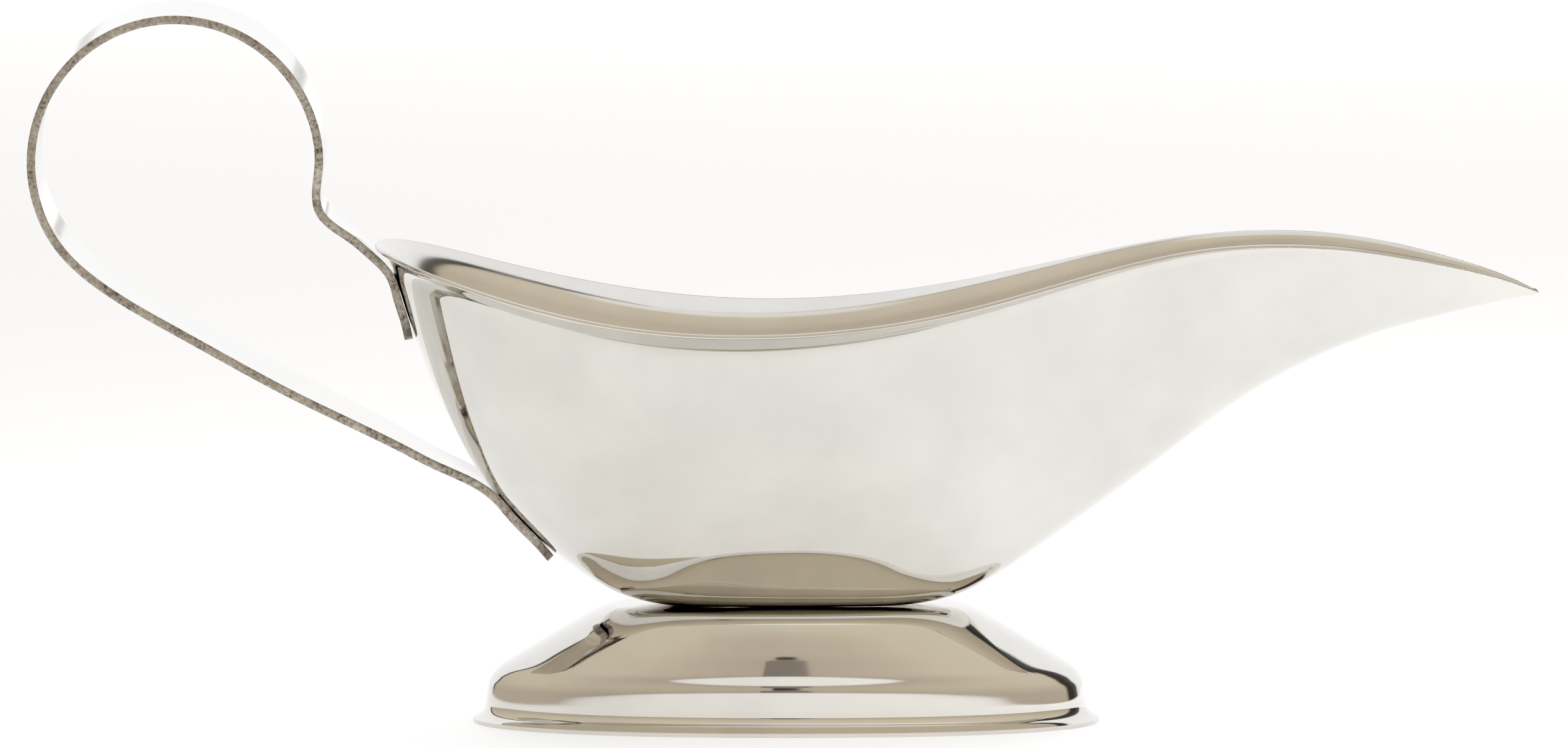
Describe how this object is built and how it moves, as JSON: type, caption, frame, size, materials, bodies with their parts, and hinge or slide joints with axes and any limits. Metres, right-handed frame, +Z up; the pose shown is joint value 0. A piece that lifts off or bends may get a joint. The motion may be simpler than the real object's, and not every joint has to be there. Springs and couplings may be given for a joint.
{
  "type": "gravy boat",
  "caption": "Polished sheet steel gravy boat: flared, spouted bowl on a hollow oval foot, with a wide bent strap handle spot-welded at the back.",
  "frame": {"origin": "under the middle of the whole object, on the surface that it stands on", "axes": "+X from the handle towards the spout, +Y across, +Z up"},
  "size_m": [0.2152, 0.0662, 0.1021],
  "materials": {
    "polished_steel": "polished stainless steel with fine handling scratches",
    "strap_steel": "polished stainless steel faces, rough sheared edges",
    "weld_steel": "dull, heat-stained resistance weld"
  },
  "bodies": {
    "root": {"bowl": "polished_steel", "foot": "polished_steel", "handle_strap": "strap_steel", "upper_spot_weld_top": "weld_steel", "upper_spot_weld_bottom": "weld_steel", "lower_spot_weld_top": "weld_steel", "lower_spot_weld_bottom": "weld_steel", "foot_spot_weld_back_left": "weld_steel", "foot_spot_weld_back_right": "weld_steel", "foot_spot_weld_front_left": "weld_steel", "foot_spot_weld_front_right": "weld_steel"}
  },
  "joints": []
}
